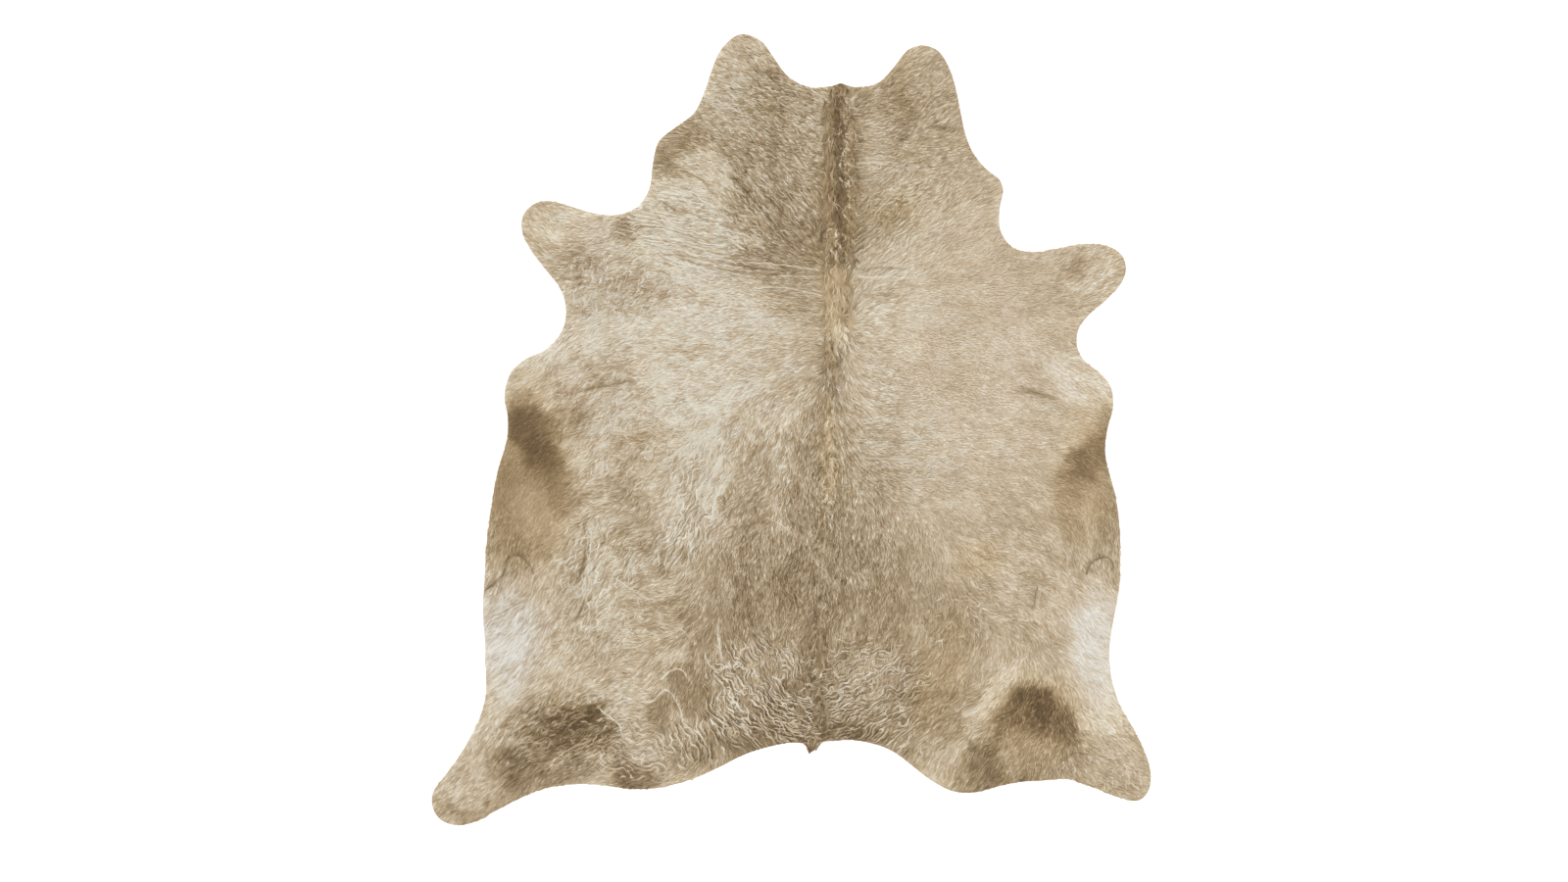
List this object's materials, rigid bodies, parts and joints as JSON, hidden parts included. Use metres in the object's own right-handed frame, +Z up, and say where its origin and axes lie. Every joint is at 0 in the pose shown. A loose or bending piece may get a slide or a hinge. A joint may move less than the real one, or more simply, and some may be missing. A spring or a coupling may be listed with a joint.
{
  "type": "cowhide rug",
  "caption": "Whole hair-on cowhide laid flat as a floor rug, trimmed to the hide's natural outline with leg, neck and tail ends.",
  "frame": {"origin": "middle of the hide's bounding box, on the floor that it lies on", "axes": "+Z up from the floor, +Y along the spine towards the neck, +X to the hide's right seen from above with the neck up"},
  "size_m": [2, 2.2, 0.0195],
  "materials": {
    "hair_on_hide": "short hair on tanned skin, cream to taupe in soft patches, matte"
  },
  "bodies": {
    "root": {"hide": "hair_on_hide"}
  },
  "joints": []
}
